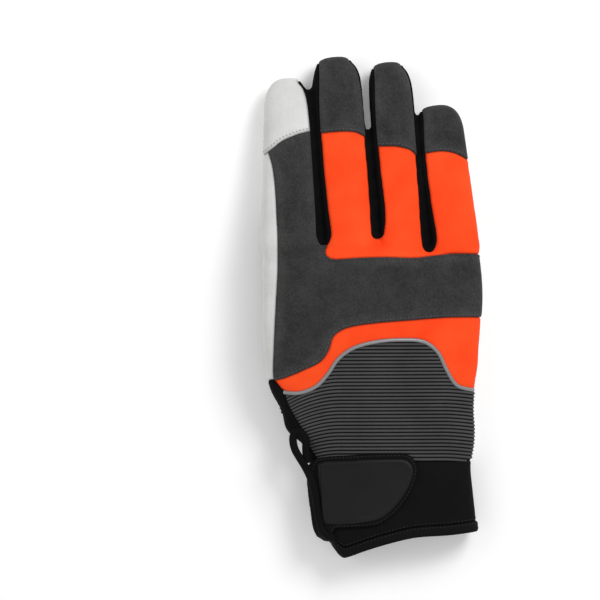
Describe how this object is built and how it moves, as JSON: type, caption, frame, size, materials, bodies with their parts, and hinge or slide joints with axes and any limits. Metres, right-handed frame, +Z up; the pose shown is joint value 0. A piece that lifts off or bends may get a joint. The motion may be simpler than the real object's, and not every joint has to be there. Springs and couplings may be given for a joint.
{
  "type": "work glove",
  "caption": "Right-hand work glove lying back up, thumb tucked under, with leather palm, padded knuckle band, ribbed back panel, stretch cuff and wrist strap.",
  "frame": {"origin": "on the surface under the middle of the glove's bounding box", "axes": "+Y along the glove from the cuff to the fingertips, +X towards the little finger, +Z up out of the back of the hand"},
  "size_m": [0.1136, 0.2586, 0.0394],
  "materials": {
    "leather_white": "soft grain",
    "suede_grey": "napped",
    "knit_orange": "matt hi-vis knit",
    "knit_black": "matt stretch knit",
    "knit_ribbed": "ribbed elastic",
    "neoprene_black": "jersey on foam",
    "binding_black": "woven binding",
    "strap_rubber": "satin",
    "piping_reflective": "reflective"
  },
  "bodies": {
    "root": {"index_tip_cap": "leather_white", "middle_tip_cap": "suede_grey", "ring_tip_cap": "suede_grey", "little_tip_cap": "suede_grey", "finger_back": "knit_orange", "knuckle_guard": "suede_grey", "hand_back": "knit_orange", "ribbed_panel": "knit_ribbed", "index_side_strip": "leather_white", "thumb_base_knit": "knit_black", "wrist_cuff": "neoprene_black", "fourchette_index_middle": "knit_black", "fourchette_middle_ring": "knit_black", "fourchette_ring_little": "knit_black", "palm_radial": "leather_white", "palm_ulnar": "leather_white", "thumb_base_leather": "leather_white", "palm_heel": "leather_white", "index_tip_pad": "leather_white", "index_middle_pad": "leather_white", "middle_tip_pad": "leather_white", "middle_middle_pad": "leather_white", "ring_tip_pad": "leather_white", "ring_middle_pad": "leather_white", "little_tip_pad": "leather_white", "little_middle_pad": "leather_white", "cuff_hem": "binding_black", "strap_tab": "strap_rubber", "strap_panel": "strap_rubber", "pull_loop": "binding_black", "reflective_piping": "piping_reflective", "thumb_front": "leather_white", "thumb_back": "knit_black"}
  },
  "joints": []
}
